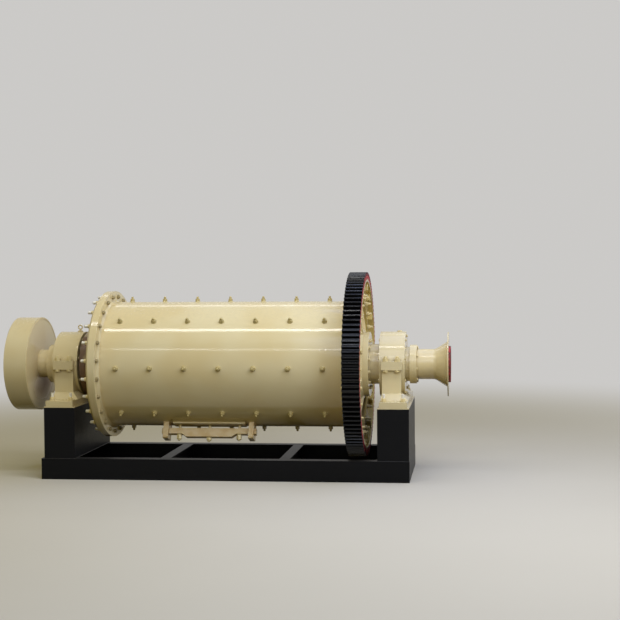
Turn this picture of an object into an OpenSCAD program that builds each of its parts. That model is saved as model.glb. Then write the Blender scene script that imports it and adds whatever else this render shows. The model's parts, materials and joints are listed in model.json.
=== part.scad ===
// Small grinding mill on a skid: a bolted drum that turns in two plain bearings, with a girth
// gear at the discharge end, a drum feeder at the feed end and a discharge trumpet.
// Millimetres. X runs along the mill axis from feed to discharge, Z is up.

/* [Shell] */
// Length of the shell between its two head joints
shell_l = 1816; // [1500:1:2400]
// Outside diameter of the shell
shell_od = 920; // [860:1:960]
// Thickness of the shell plate
shell_t = 10; // [8:1:16]
// Outside diameter of the bolted flanges
flange_od = 1080; // [1060:1:1120]
// Thickness of each shell flange
shell_flange_t = 28; // [20:1:40]
// Length of the weld chamfer behind each shell flange
weld_l = 16; // [8:1:24]
// Thickness of the shell liner plates
liner_t = 40; // [30:1:50]
// Number of lifter bars, one over each row of liner bolts
lifter_count = 8; // [6:1:12]
// Width of a lifter bar
lifter_w = 60; // [40:1:80]
// Height of a lifter bar above the liner plates
lifter_h = 30; // [15:1:40]
// Thickness of the head liners
head_liner_t = 34; // [25:1:45]

/* [Heads and trunnions] */
// Height of the mill axis above the floor
axis_h = 800; // [780:1:860]
// Thickness of the head flange
head_t = 34; // [26:1:44]
// Bevel on the outer edge of each head
head_chamfer = 14; // [4:1:20]
// Radius of the head where it meets the trunnion flange
boss_r = 238; // [225:1:245]
// Radius of the head boss where it leaves the head flange
boss_root_r = 300; // [270:1:330]
// Length of the boss on the feed head
feed_boss_l = 105; // [90:1:112]
// Length of the boss on the discharge head
discharge_boss_l = 18; // [12:1:40]
// Radius of the trunnion flange
trunnion_flange_r = 235; // [220:1:238]
// Thickness of the trunnion flange
trunnion_flange_t = 40; // [30:1:44]
// Diameter of the trunnion neck between its flange and the bearing
neck_d = 294; // [275:1:320]
// Diameter of the bearing journal
journal_d = 250; // [230:1:260]
// Radius of the bore through the feed trunnion
feed_bore_r = 92; // [70:1:98]
// Radius of the bore through the discharge trunnion
discharge_bore_r = 96; // [80:1:98]
// Diameter of the bolted flanges at the outer trunnion ends
end_flange_d = 283; // [276:1:310]
// Thickness of each of those flanges
end_flange_t = 25; // [18:1:32]
// Radius of the throat where a head opens into the shell
throat_r = 150; // [130:1:170]
// Ribs on the outer face of the discharge head
head_rib_count = 8; // [4:1:12]

/* [Bearings] */
// Distance from each end of the shell to its bearing centre
bearing_reach = 289; // [284:1:340]
// Width of the bearing housing along the axis
bearing_w = 160; // [130:1:170]
// Outside radius of the round housing
housing_r = 238; // [225:1:250]
// Wall thickness of the cap
cap_wall = 16; // [10:1:24]
// Thickness of the end covers
cover_t = 12; // [8:1:16]
// Outside radius of the half bush
bush_r = 150; // [140:1:165]
// Length of the bush
bush_l = 140; // [110:1:150]
// Radial running clearance between journal and bush
running_gap = 0.05; // [0.02:0.01:0.1]
// Free gap round the journal in the end covers
cover_gap = 5; // [5:1:9]
// Half length of the split flange along the axis
split_half_l = 74; // [60:1:80]
// Half width of the split flange across the axis
split_half_w = 275; // [262:1:300]
// Thickness of the split flange on the cap
split_cap_t = 38; // [25:1:45]
// Thickness of the split flange on the base
split_base_t = 24; // [18:1:36]
// Half thickness of the bearing column along the axis
column_half_l = 69; // [55:1:75]
// Half width of the bearing column across the axis
column_half_w = 250; // [240:1:262]
// Length of the bearing foot along the axis
foot_l = 196; // [180:1:210]
// Thickness of the bearing foot
foot_t = 40; // [24:1:48]
// Height of the flare above the foot
flare_h = 46; // [20:1:60]
// Offset of the foot from the bearing centre towards the discharge end
foot_shift = 20; // [0:1:24]
// Height of the mill axis above the sole plate
bearing_h = 277; // [270:1:300]
// Thickness of the sole plate under each bearing
sole_t = 8; // [6:1:16]
// Outside diameter of the lifting eye
eye_d = 38; // [34:1:50]
// Thickness of the lifting eye ring
eye_t = 9; // [7:1:12]

/* [Girth gear] */
// Gear module
gear_module = 12; // [10:1:12]
// Number of teeth
gear_teeth = 110; // [104:1:112]
// Width of the gear face
gear_w = 124; // [110:1:130]
// Thickness of the rim below the tooth roots
gear_rim_t = 40; // [28:1:48]
// Thickness of the bolted web
gear_web_t = 26; // [18:1:34]
// Number of ribs between web and rim
gear_rib_count = 16; // [8:1:24]
// Thickness of a rib
gear_rib_t = 14; // [8:1:20]

/* [Feeder and trumpet] */
// Outside diameter of the feeder drum
feeder_od = 692; // [600:1:760]
// Width of the feeder drum
feeder_w = 165; // [140:1:200]
// Plate thickness of the feeder drum
feeder_t = 8; // [6:1:12]
// Outside diameter of the feeder hub tube
hub_od = 207; // [200:1:230]
// Length of the hub tube between its flange and the drum
hub_l = 80; // [60:1:120]
// Radius of the feed inlet
inlet_r = 120; // [100:1:124]
// Length of the collar inside the feed inlet
collar_l = 50; // [30:1:60]
// Outside diameter of the trumpet barrel
barrel_od = 220; // [216:1:240]
// Length of the straight trumpet barrel
barrel_l = 117; // [100:1:180]
// Length of the flared mouth
bell_l = 106; // [70:1:120]
// Outside radius of the flared mouth
bell_r = 167; // [150:1:185]
// Wall thickness of the trumpet
trumpet_t = 10; // [6:1:10]
// Radius of the slinger ring round the mouth
slinger_r = 235; // [210:1:260]
// Thickness of the slinger ring
slinger_t = 8; // [6:1:14]
// Outside radius of the lip in front of the slinger ring
lip_r = 132; // [120:1:150]
// Wall thickness of the lip
lip_t = 10; // [6:1:14]
// Length of the lip
lip_l = 14; // [10:1:30]

/* [Manhole] */
// Turn of the manhole from straight down towards the seen side
manhole_turn = 22.5; // [21:0.5:24]
// Distance of the manhole from the middle of the shell towards the feed end
manhole_shift = 132; // [100:1:160]
// Length of the manhole opening
manhole_l = 540; // [500:1:560]
// Width of the manhole opening
manhole_w = 220; // [180:1:224]
// Width of the raised pad along the middle of the cover
pad_w = 96; // [60:1:120]
// Thickness of the raised pad
pad_t = 12; // [8:1:16]
// Gap between the pad and the clamp bar
bar_stand = 27; // [16:1:36]
// Gap between the opening and each bracket that holds the bar
bracket_gap = 24; // [14:1:60]
// Thickness of a bracket
bracket_t = 38; // [24:1:44]
// Width of a bracket
bracket_w = 100; // [90:1:140]
// Thickness of the clamp bar across the mill
bar_w = 50; // [40:1:60]
// Height of the clamp bar at its ends
bar_h = 41; // [32:1:48]
// Extra depth of the clamp bar between its outer studs
bar_belly = 22; // [10:1:30]
// Distance between the studs of the clamp bar
stud_pitch = 220; // [180:1:240]
// Diameter of the stud holes
stud_hole_d = 24; // [18:1:28]

/* [Skid] */
// How far the skid runs past the feed pedestal
feed_overhang = 23; // [3:1:200]
// How far the skid runs past the discharge pedestal
discharge_overhang = 3; // [3:1:200]
// Width of the skid
skid_w = 840; // [820:1:960]
// Height of the skid beams
beam_h = 150; // [140:1:200]
// Width of the beam flanges
beam_flange_w = 75; // [60:1:90]
// Thickness of the beam webs
beam_web_t = 10; // [7:1:14]
// Thickness of the beam flanges
beam_flange_t = 12; // [8:1:16]
// Distance of the middle cross beams from the middle of the skid
cross_beam_x = 430; // [350:1:600]
// Length of each pedestal along the axis
pedestal_l = 223; // [200:1:240]
// Thickness of the pedestal side plates
pedestal_t = 12; // [8:1:16]
// Thickness of the pedestal top plate
pedestal_top_t = 20; // [12:1:28]
// Radius of the anchor holes in the lower beam flanges
anchor_r = 11; // [8:1:14]
// Distance of the anchor holes from the skid ends
anchor_inset = 130; // [100:1:300]

/* [Hidden] */
$fn = 96;

// Seats that touch along a curve keep this gap
seat_gap = 0.3;
shell_r = shell_od / 2;
shell_bore_r = shell_r - shell_t;
flange_r = flange_od / 2;
liner_bore_r = shell_bore_r - seat_gap - liner_t;
journal_r = journal_d / 2;
neck_r = neck_d / 2;
end_flange_r = end_flange_d / 2;

// Places along the axis, measured from the middle of the shell
head_x = shell_l / 2;
bearing_x = head_x + bearing_reach;
feed_boss_x = head_x + head_t + feed_boss_l;
discharge_boss_x = head_x + head_t + discharge_boss_l + gear_web_t;
bearing_half = bearing_w / 2;
cover_x = bearing_half + cover_t;
neck_gap = 7;
foot_relief = 6;
neck_x = bearing_x - cover_x - neck_gap;
end_gap = 29;
end_flange_x = bearing_x + cover_x + end_gap;
pair_x = end_flange_x + end_flange_t;
hub_x = pair_x + end_flange_t;
feeder_x = hub_x + hub_l;
feeder_end_x = feeder_x + feeder_w;
bell_x = hub_x + barrel_l;
slinger_x = bell_x + bell_l;
lip_x = slinger_x + slinger_t;
trumpet_end_x = lip_x + lip_l;
// The origin lies under the middle of the whole machine
origin_shift = (feeder_end_x - trumpet_end_x) / 2;

// Girth gear
pitch_r = gear_module * gear_teeth / 2;
tip_r = pitch_r + gear_module;
root_r = pitch_r - 1.25 * gear_module;
base_r = pitch_r * cos(20);
rim_bore_r = root_r - gear_rim_t;
gear_x = head_x - shell_flange_t + 2;
web_x = head_x + head_t;
web_bore_r = flange_r - 70;
rib_root_r = flange_r + 6;
rib_end_gap = 6;

// Manhole between the lowest row of liner bolts and the next one
manhole_x = -manhole_shift;
cover_gap_side = 3;
cover_in = shell_t + liner_t;
cover_lip_w = 20;
cover_lip_t = 14;
pad_inset = 5;
bracket_x = manhole_l / 2 + bracket_gap + bracket_t / 2;
bar_top = shell_r + pad_t + bar_stand;
bar_gap = 0.3;
bar_over = 14;
bracket_bottom = bar_top + bar_h + bar_belly + 16;
bracket_chamfer = 8;
bar_l = 2 * bracket_x + bracket_t + 2 * bar_over;
belly_half = 1.5 * stud_pitch / 2;
belly_run = 34;

// Skid
half_w = skid_w / 2;
foot_z = axis_h - bearing_h;
pedestal_top_z = foot_z - sole_t;
flange_reach = half_w - beam_flange_w;
feed_foot_x = foot_shift - bearing_x;
discharge_foot_x = foot_shift + bearing_x;
skid_x = feed_foot_x - pedestal_l / 2 - feed_overhang;
skid_end_x = discharge_foot_x + pedestal_l / 2 + discharge_overhang;
skid_l = skid_end_x - skid_x;
skid_middle = (skid_x + skid_end_x) / 2;
anchor_y = half_w - beam_web_t - (beam_flange_w - beam_web_t) / 2;
eye_x = bearing_half - 34;
eye_boss_r = 20;
eye_boss_h = 5;
eye_shank_h = 14;

// Turning shapes are drawn as [radius, x] profiles
module revolved(points) {
    translate([0, 0, axis_h]) rotate([0, 90, 0]) rotate_extrude() polygon(points);
}

module ring(x, length, outer, inner) {
    translate([x, 0, axis_h]) rotate([0, 90, 0]) linear_extrude(length)
        difference() {
            circle(outer);
            circle(inner);
        }
}

module rod(x, length, r) {
    translate([x, 0, axis_h]) rotate([0, 90, 0]) cylinder(h = length, r = r);
}

// A block given by its lowest and highest corners
module block(low, high) {
    translate(low) cube(high - low);
}

module placed() {
    translate([origin_shift, 0, 0]) children();
}

module feed_side() {
    mirror([1, 0, 0]) children();
}

module rounded(length, width, r) {
    square([length - 2 * r, width], center = true);
    square([length, width - 2 * r], center = true);
    for (sx = [-1, 1], sy = [-1, 1])
        translate([sx * (length / 2 - r), sy * (width / 2 - r)]) circle(r);
}

// Skid beams are channels with their webs outwards
module long_beam(side) {
    difference() {
        translate([skid_x, 0, 0]) scale_y(side) union() {
            block([0, half_w - beam_web_t, 0], [skid_l, half_w, beam_h]);
            block([0, flange_reach, 0], [skid_l, half_w, beam_flange_t]);
            block([0, flange_reach, beam_h - beam_flange_t], [skid_l, half_w, beam_h]);
        }
        for (x = [skid_x + anchor_inset, skid_end_x - anchor_inset])
            translate([x, side * anchor_y, -1]) cylinder(h = beam_flange_t + 2, r = anchor_r);
    }
}

module scale_y(side) {
    if (side > 0) children();
    else mirror([0, 1, 0]) children();
}

// An end beam fits between the flanges of the long beams
module end_beam() {
    low = beam_flange_t;
    high = beam_h - beam_flange_t;
    block([0, -flange_reach, 0], [beam_web_t, flange_reach, beam_h]);
    block([0, beam_web_t - half_w, low], [beam_web_t, half_w - beam_web_t, high]);
    block([0, -flange_reach, 0], [beam_flange_w, flange_reach, low]);
    block([0, -flange_reach, high], [beam_flange_w, flange_reach, beam_h]);
}

module cross_beam() {
    low = beam_flange_t;
    high = beam_h - beam_flange_t;
    half = beam_flange_w / 2;
    block([-half, -flange_reach, 0], [half, flange_reach, low]);
    block([-half, -flange_reach, high], [half, flange_reach, beam_h]);
    block([-beam_web_t / 2, beam_web_t - half_w, low], [beam_web_t / 2, half_w - beam_web_t, high]);
}

// A pedestal is a welded box, open below, with two stiffeners that make three equal cells
module pedestal() {
    half = pedestal_l / 2;
    cell = (skid_w - 4 * pedestal_t) / 3;
    difference() {
        block([-half, -half_w, beam_h], [half, half_w, pedestal_top_z]);
        for (i = [0:2])
            translate([0, pedestal_t - half_w + i * (cell + pedestal_t), 0])
                block([pedestal_t - half, 0, beam_h - 1],
                      [half - pedestal_t, cell, pedestal_top_z - pedestal_top_t]);
    }
}

module sole_plate() {
    half = pedestal_l / 2;
    block([-half, -half_w, pedestal_top_z], [half, half_w, foot_z]);
}

// The bearing base: foot, flare, column, round housing and split flange below the axis
module bearing_base() {
    top = axis_h - foot_z;
    shift = foot_shift;
    difference() {
        union() {
            intersection() {
                translate([0, half_w, foot_z]) rotate([90, 0, 0]) linear_extrude(skid_w)
                    polygon([
                        [shift - foot_l / 2, 0],
                        [shift + foot_l / 2, 0],
                        [shift + foot_l / 2, foot_t],
                        [column_half_l, foot_t + flare_h],
                        [column_half_l, top],
                        [-column_half_l, top],
                        [-column_half_l, foot_t + flare_h],
                        [shift - foot_l / 2, foot_t]
                    ]);
                translate([shift - foot_l / 2, 0, foot_z]) rotate([90, 0, 90]) linear_extrude(foot_l)
                    polygon([
                        [-half_w, 0],
                        [half_w, 0],
                        [half_w, foot_t],
                        [column_half_w + flare_h, foot_t],
                        [column_half_w, foot_t + flare_h],
                        [column_half_w, top],
                        [-column_half_w, top],
                        [-column_half_w, foot_t + flare_h],
                        [-column_half_w - flare_h, foot_t],
                        [-half_w, foot_t]
                    ]);
            }
            intersection() {
                rod(-bearing_half, bearing_w, housing_r);
                block([-bearing_half, -half_w, 0], [bearing_half, half_w, axis_h]);
            }
            block([-split_half_l, -split_half_w, axis_h - split_base_t],
                  [split_half_l, split_half_w, axis_h]);
        }
        rod(-bearing_w, 2 * bearing_w, bush_r);
        rod(bearing_half, foot_l, housing_r + foot_relief);
    }
}

// The cap is a half barrel, open at its ends where the covers close it
module bearing_cap() {
    difference() {
        union() {
            intersection() {
                rod(-bearing_half, bearing_w, housing_r);
                block([-bearing_half, -half_w, axis_h], [bearing_half, half_w, 2 * axis_h]);
            }
            block([-split_half_l, -split_half_w, axis_h],
                  [split_half_l, split_half_w, axis_h + split_cap_t]);
            translate([eye_x, 0, axis_h + housing_r - cap_wall / 2])
                cylinder(h = cap_wall / 2 + eye_boss_h, r = eye_boss_r);
        }
        rod(-bearing_w, 2 * bearing_w, housing_r - cap_wall);
    }
}

module bearing_bush() {
    difference() {
        ring(-bush_l / 2, bush_l, bush_r, journal_r + running_gap);
        block([-bush_l, -bush_r - 1, axis_h], [bush_l, bush_r + 1, axis_h + bush_r + 1]);
    }
}

// An end cover closes the housing and leaves the journal free
module end_cover(x) {
    ring(x, cover_t, housing_r, journal_r + cover_gap);
}

module lifting_eye() {
    seat = axis_h + housing_r + eye_boss_h;
    ring_z = seat + eye_shank_h + eye_d / 2 - eye_t / 2;
    translate([eye_x, 0, seat]) cylinder(h = 5, r = 15);
    translate([eye_x, 0, seat]) cylinder(h = eye_shank_h + eye_t / 2, r = 7);
    translate([eye_x, 0, ring_z]) rotate([90, 0, 0]) rotate_extrude()
        translate([eye_d / 2 - eye_t / 2, 0]) circle(eye_t / 2);
}

// The manhole is drawn at the bottom of the drum and turned into place about the mill axis
module manhole_placed() {
    translate([0, 0, axis_h]) rotate([-manhole_turn, 0, 0]) translate([0, 0, -axis_h]) children();
}

module manhole_cut(extra, r) {
    manhole_placed() translate([manhole_x, 0, axis_h - flange_r]) linear_extrude(flange_r / 2)
        rounded(manhole_l + 2 * extra, manhole_w + 2 * extra, r);
}

module shell() {
    color("#e3d59c") placed() difference() {
        ring(-head_x, shell_l, shell_r, shell_bore_r);
        manhole_cut(0, 40);
    }
}

// A flange stands square on the shell with a weld chamfer behind it
module shell_flange() {
    revolved([
        [shell_r, head_x],
        [flange_r, head_x],
        [flange_r, head_x - shell_flange_t],
        [shell_r + weld_l, head_x - shell_flange_t],
        [shell_r, head_x - shell_flange_t - weld_l]
    ]);
}

// Liner plates with a lifter bar at each row of liner bolts
module shell_liner() {
    x = head_x - head_liner_t - 1;
    color("#6a6a6c") placed() difference() {
        translate([-x, 0, axis_h]) rotate([0, 90, 0]) linear_extrude(2 * x) difference() {
            circle(shell_bore_r - seat_gap);
            difference() {
                circle(liner_bore_r);
                for (i = [0:lifter_count - 1])
                    rotate(i * 360 / lifter_count)
                        polygon([
                            [liner_bore_r - lifter_h, -lifter_w / 3],
                            [liner_bore_r - lifter_h, lifter_w / 3],
                            [liner_bore_r + 5, lifter_w / 2],
                            [liner_bore_r + 5, -lifter_w / 2]
                        ]);
            }
        }
        manhole_cut(cover_lip_w + cover_gap_side, 40 + cover_lip_w);
    }
}

// A head: flange, boss and a throat that narrows to the trunnion bore
module head(boss_l, bore_r) {
    end = head_x + head_t + boss_l;
    revolved([
        [throat_r, head_x],
        [flange_r, head_x],
        [flange_r, head_x + head_t - head_chamfer],
        [flange_r - head_chamfer, head_x + head_t],
        [boss_root_r, head_x + head_t],
        [boss_r, end],
        [bore_r, end],
        [bore_r, end - 10]
    ]);
}

module head_ribs() {
    x0 = head_x + head_t - 1;
    rib_end = web_bore_r - 8;
    rib_x = discharge_boss_l + gear_web_t;
    for (i = [0:head_rib_count - 1])
        translate([x0, 0, axis_h]) rotate([(i + 0.5) * 360 / head_rib_count, 0, 0])
            translate([0, gear_rib_t / 2, 0]) rotate([90, 0, 0]) linear_extrude(gear_rib_t)
                polygon([
                    [0, boss_r + 4],
                    [rib_x, boss_r + 4],
                    [rib_x, boss_r + 24],
                    [12, rib_end],
                    [0, rib_end]
                ]);
}

module head_liner() {
    ring(head_x - seat_gap - head_liner_t, head_liner_t, shell_bore_r - 2 * seat_gap - 6, throat_r);
}

// A hollow trunnion: bolted flange, neck, journal and outer end flange
module trunnion(flange_x, bore_r) {
    revolved([
        [bore_r, flange_x],
        [trunnion_flange_r, flange_x],
        [trunnion_flange_r, flange_x + trunnion_flange_t],
        [neck_r, flange_x + trunnion_flange_t],
        [neck_r, neck_x],
        [journal_r, neck_x],
        [journal_r, end_flange_x],
        [end_flange_r, end_flange_x],
        [end_flange_r, pair_x],
        [bore_r, pair_x]
    ]);
}

// Half the angle that a tooth fills at radius r, on an involute of 20 degrees
function involute(r) = let (a = acos(base_r / r)) tan(a) * 180 / PI - a;
function half_tooth(r) = 90 / gear_teeth + involute(pitch_r) - involute(r);
function gear_point(r, angle) = [r * cos(angle), r * sin(angle)];
gear_outline = [
    for (i = [0:gear_teeth - 1], j = [0:5])
        let (
            middle = i * 360 / gear_teeth,
            r = [root_r, pitch_r, tip_r, tip_r, pitch_r, root_r][j],
            side = j < 3 ? -1 : 1
        )
        gear_point(r, middle + side * half_tooth(r))
];

module girth_gear() {
    rib_l = gear_w - 2 * rib_end_gap;
    color("#1d1d1f") placed() union() {
        translate([gear_x, 0, axis_h]) rotate([0, 90, 0]) linear_extrude(gear_w)
            difference() {
                polygon(gear_outline);
                circle(rim_bore_r);
            }
        ring(web_x, gear_web_t, rim_bore_r + 1, web_bore_r);
        for (i = [0:gear_rib_count - 1])
            translate([0, 0, axis_h]) rotate([(i + 0.5) * 360 / gear_rib_count, 0, 0])
                block([gear_x + rib_end_gap, -gear_rib_t / 2, rib_root_r],
                      [gear_x + rib_end_gap + rib_l, gear_rib_t / 2, rim_bore_r + 1]);
    }
}

// Feeder drum: rim, two faces, hub and a spiral scoop between the faces
module feeder_rim() {
    color("#e3d59c") placed() feed_side()
        ring(feeder_x, feeder_w, feeder_od / 2, feeder_od / 2 - feeder_t);
}

module feeder_inner_face() {
    color("#e3d59c") placed() feed_side()
        ring(feeder_x, feeder_t, feeder_od / 2 - feeder_t, hub_od / 2);
}

module feeder_outer_face() {
    x = feeder_end_x - feeder_t;
    color("#e3d59c") placed() feed_side() union() {
        ring(x, feeder_t, feeder_od / 2 - feeder_t, inlet_r);
        ring(x - collar_l + feeder_t, collar_l, inlet_r + feeder_t, inlet_r);
    }
}

module feeder_hub() {
    color("#e3d59c") placed() feed_side() revolved([
        [feed_bore_r, pair_x],
        [end_flange_r, pair_x],
        [end_flange_r, hub_x],
        [hub_od / 2, hub_x],
        [hub_od / 2, feeder_x + feeder_t],
        [feed_bore_r, feeder_x + feeder_t]
    ]);
}

scoop_outer_r = feeder_od / 2 - feeder_t - seat_gap;
scoop_inner_r = inlet_r + feeder_t + 12;
scoop_steps = 24;
function scoop_r(i) = scoop_outer_r - (scoop_outer_r - scoop_inner_r) * i / scoop_steps;
function scoop_point(r, i) = gear_point(r, i * 330 / scoop_steps);

module feeder_scoop() {
    outer = [for (i = [0:scoop_steps]) scoop_point(scoop_r(i), i)];
    inner = [for (i = [0:scoop_steps]) scoop_point(scoop_r(scoop_steps - i) - feeder_t, scoop_steps - i)];
    color("#b9b08a") placed() feed_side()
        translate([feeder_x + feeder_t, 0, axis_h]) rotate([0, 90, 0])
            linear_extrude(feeder_w - 2 * feeder_t) polygon(concat(outer, inner));
}

// The trumpet: flange, straight barrel and a conical mouth that starts in a soft bend
bend_part = 0.3;
bend_steps = [0, 0.06, 0.12, 0.18, 0.24, 0.3, 1];
function bell_rise(t) = (t < bend_part ? t * t / (2 * bend_part) : t - bend_part / 2) / (1 - bend_part / 2);
function bell_point(t, inset) = [
    barrel_od / 2 - inset + (bell_r - barrel_od / 2) * bell_rise(t),
    bell_x + bell_l * t
];

module discharge_trumpet() {
    outside = [for (i = [0:6]) bell_point(bend_steps[i], 0)];
    inside = [for (i = [0:6]) bell_point(bend_steps[6 - i], trumpet_t)];
    color("#e3d59c") placed() revolved(concat(
        [
            [barrel_od / 2 - trumpet_t, pair_x],
            [end_flange_r, pair_x],
            [end_flange_r, hub_x],
            [barrel_od / 2, hub_x]
        ],
        outside,
        inside
    ));
}

module trumpet_slinger() {
    color("#e3d59c") placed() ring(slinger_x, slinger_t, slinger_r, lip_r - lip_t);
}

module trumpet_lip() {
    color("#8c2f2a") placed() ring(lip_x, lip_l, lip_r, lip_r - lip_t);
}

// A curved strip on the cover, in which its studs stand
module manhole_pad() {
    length = manhole_l - 2 * pad_inset;
    color("#e3d59c") placed() intersection() {
        ring(-head_x, shell_l, shell_r + pad_t, shell_r);
        manhole_placed() translate([manhole_x - length / 2, -pad_w / 2, axis_h - flange_r])
            cube([length, pad_w, flange_r / 2]);
    }
}

// The cover fills the opening and bears on the inside of the shell with a lip all round
module manhole_cover() {
    rim_r = shell_bore_r - seat_gap;
    color("#e3d59c") placed() union() {
        intersection() {
            ring(-head_x, shell_l, shell_r, shell_r - cover_in);
            manhole_cut(-cover_gap_side, 40 - cover_gap_side);
        }
        intersection() {
            ring(-head_x, shell_l, rim_r, rim_r - cover_lip_t);
            manhole_cut(cover_lip_w, 40 + cover_lip_w);
        }
    }
}

// Clamp bar, deeper between its outer studs
module manhole_bar() {
    end = bar_l / 2;
    top = axis_h - bar_top;
    color("#e3d59c") placed() manhole_placed() difference() {
        translate([manhole_x, bar_w / 2, top]) rotate([90, 0, 0]) linear_extrude(bar_w)
            polygon([
                [-end, 0],
                [end, 0],
                [end, -bar_h],
                [belly_half + belly_run, -bar_h],
                [belly_half, -bar_h - bar_belly],
                [-belly_half, -bar_h - bar_belly],
                [-belly_half - belly_run, -bar_h],
                [-end, -bar_h]
            ]);
        for (i = [-1, 0, 1])
            translate([manhole_x + i * stud_pitch, 0, top - 2 * bar_h]) cylinder(h = 3 * bar_h, d = stud_hole_d);
    }
}

module manhole_brackets() {
    half = bracket_w / 2;
    low = axis_h - bracket_bottom;
    slot = bar_w / 2 + bar_gap;
    top = axis_h - bar_top;
    color("#e3d59c") placed() manhole_placed() difference() {
        for (side = [-1, 1])
            translate([manhole_x + side * bracket_x - bracket_t / 2, 0, 0])
                rotate([90, 0, 90]) linear_extrude(bracket_t)
                    difference() {
                        polygon([
                            [-half, low + bracket_chamfer],
                            [bracket_chamfer - half, low],
                            [half - bracket_chamfer, low],
                            [half, low + bracket_chamfer],
                            [half, axis_h - shell_r + 20],
                            [-half, axis_h - shell_r + 20]
                        ]);
                        translate([-slot, top - bar_h - bar_gap]) square([2 * slot, bar_h + 2 * bar_gap]);
                    }
        rod(-head_x, shell_l, shell_r);
    }
}

module front_beam() { color("#1b1c1f") placed() long_beam(-1); }
module rear_beam() { color("#1b1c1f") placed() long_beam(1); }
module feed_end_beam() { color("#1b1c1f") placed() translate([skid_x, 0, 0]) end_beam(); }
module discharge_end_beam() {
    color("#1b1c1f") placed() translate([skid_end_x, 0, 0]) mirror([1, 0, 0]) end_beam();
}
module middle_cross_beams() {
    color("#1b1c1f") placed()
        for (x = [skid_middle - cross_beam_x, skid_middle + cross_beam_x])
            translate([x, 0, 0]) cross_beam();
}
module feed_pedestal() { color("#1b1c1f") placed() translate([feed_foot_x, 0, 0]) pedestal(); }
module discharge_pedestal() { color("#1b1c1f") placed() translate([discharge_foot_x, 0, 0]) pedestal(); }
module feed_sole_plate() { color("#e8dfb8") placed() translate([feed_foot_x, 0, 0]) sole_plate(); }
module discharge_sole_plate() { color("#e8dfb8") placed() translate([discharge_foot_x, 0, 0]) sole_plate(); }

module at_feed() { placed() translate([-bearing_x, 0, 0]) children(); }
module at_discharge() { placed() translate([bearing_x, 0, 0]) children(); }
module feed_bearing_base() { color("#e3d59c") at_feed() bearing_base(); }
module feed_bearing_cap() { color("#e3d59c") at_feed() bearing_cap(); }
module feed_bearing_bush() { color("#b08d4a") at_feed() bearing_bush(); }
module feed_inner_cover() { color("#dccd92") at_feed() end_cover(bearing_half); }
module feed_outer_cover() { color("#dccd92") at_feed() end_cover(-cover_x); }
module feed_lifting_eye() { color("#e3d59c") at_feed() lifting_eye(); }
module discharge_bearing_base() { color("#e3d59c") at_discharge() bearing_base(); }
module discharge_bearing_cap() { color("#e3d59c") at_discharge() bearing_cap(); }
module discharge_bearing_bush() { color("#b08d4a") at_discharge() bearing_bush(); }
module discharge_inner_cover() { color("#dccd92") at_discharge() end_cover(-cover_x); }
module discharge_outer_cover() { color("#dccd92") at_discharge() end_cover(bearing_half); }

module feed_shell_flange() { color("#e3d59c") placed() feed_side() shell_flange(); }
module discharge_shell_flange() { color("#e3d59c") placed() shell_flange(); }
module feed_head() { color("#e3d59c") placed() feed_side() head(feed_boss_l, feed_bore_r); }
module discharge_head() {
    color("#e3d59c") placed() union() {
        head(discharge_boss_l + gear_web_t, discharge_bore_r);
        head_ribs();
    }
}
module feed_head_liner() { color("#6a6a6c") placed() feed_side() head_liner(); }
module discharge_head_liner() { color("#6a6a6c") placed() head_liner(); }
module feed_trunnion() { color("#c9bd8c") placed() feed_side() trunnion(feed_boss_x, feed_bore_r); }
module discharge_trunnion() { color("#e3d59c") placed() trunnion(discharge_boss_x, discharge_bore_r); }

front_beam();
rear_beam();
feed_end_beam();
discharge_end_beam();
middle_cross_beams();
feed_pedestal();
discharge_pedestal();
feed_sole_plate();
discharge_sole_plate();
feed_bearing_base();
feed_bearing_cap();
feed_bearing_bush();
feed_inner_cover();
feed_outer_cover();
feed_lifting_eye();
discharge_bearing_base();
discharge_bearing_cap();
discharge_bearing_bush();
discharge_inner_cover();
discharge_outer_cover();
shell();
feed_shell_flange();
discharge_shell_flange();
shell_liner();
feed_head();
discharge_head();
feed_head_liner();
discharge_head_liner();
feed_trunnion();
discharge_trunnion();
girth_gear();
feeder_rim();
feeder_inner_face();
feeder_outer_face();
feeder_hub();
feeder_scoop();
discharge_trumpet();
trumpet_slinger();
trumpet_lip();
manhole_cover();
manhole_pad();
manhole_bar();
manhole_brackets();
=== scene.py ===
"""Looks of a small ball mill on a skid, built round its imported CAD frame.

Metres, in the frame of the part: X runs along the mill axis from feed to discharge, Z is up
and the side that faces the camera is towards -Y.
"""

import json
import math

import bmesh
import bpy
from mathutils import Matrix, Vector


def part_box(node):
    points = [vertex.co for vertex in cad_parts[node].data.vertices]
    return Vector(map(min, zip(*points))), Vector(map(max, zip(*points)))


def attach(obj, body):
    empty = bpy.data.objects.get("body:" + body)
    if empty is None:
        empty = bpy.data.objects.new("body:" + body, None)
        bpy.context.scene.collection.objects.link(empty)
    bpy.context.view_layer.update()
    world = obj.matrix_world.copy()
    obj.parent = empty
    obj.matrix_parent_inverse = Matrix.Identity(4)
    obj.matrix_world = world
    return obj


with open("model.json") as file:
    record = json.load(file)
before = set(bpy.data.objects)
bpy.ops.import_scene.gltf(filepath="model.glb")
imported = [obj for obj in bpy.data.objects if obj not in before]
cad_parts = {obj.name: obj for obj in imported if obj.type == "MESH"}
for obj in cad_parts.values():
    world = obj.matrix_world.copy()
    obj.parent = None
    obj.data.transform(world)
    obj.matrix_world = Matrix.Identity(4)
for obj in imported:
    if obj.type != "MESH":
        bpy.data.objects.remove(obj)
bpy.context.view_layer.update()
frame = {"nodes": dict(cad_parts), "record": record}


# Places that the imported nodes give

def low(node):
    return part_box(node)[0]


def high(node):
    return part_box(node)[1]


def middle_x(node):
    return (low(node).x + high(node).x) / 2


def radius_of(node):
    """Outside radius of a turned node."""
    return (high(node).y - low(node).y) / 2


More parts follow.
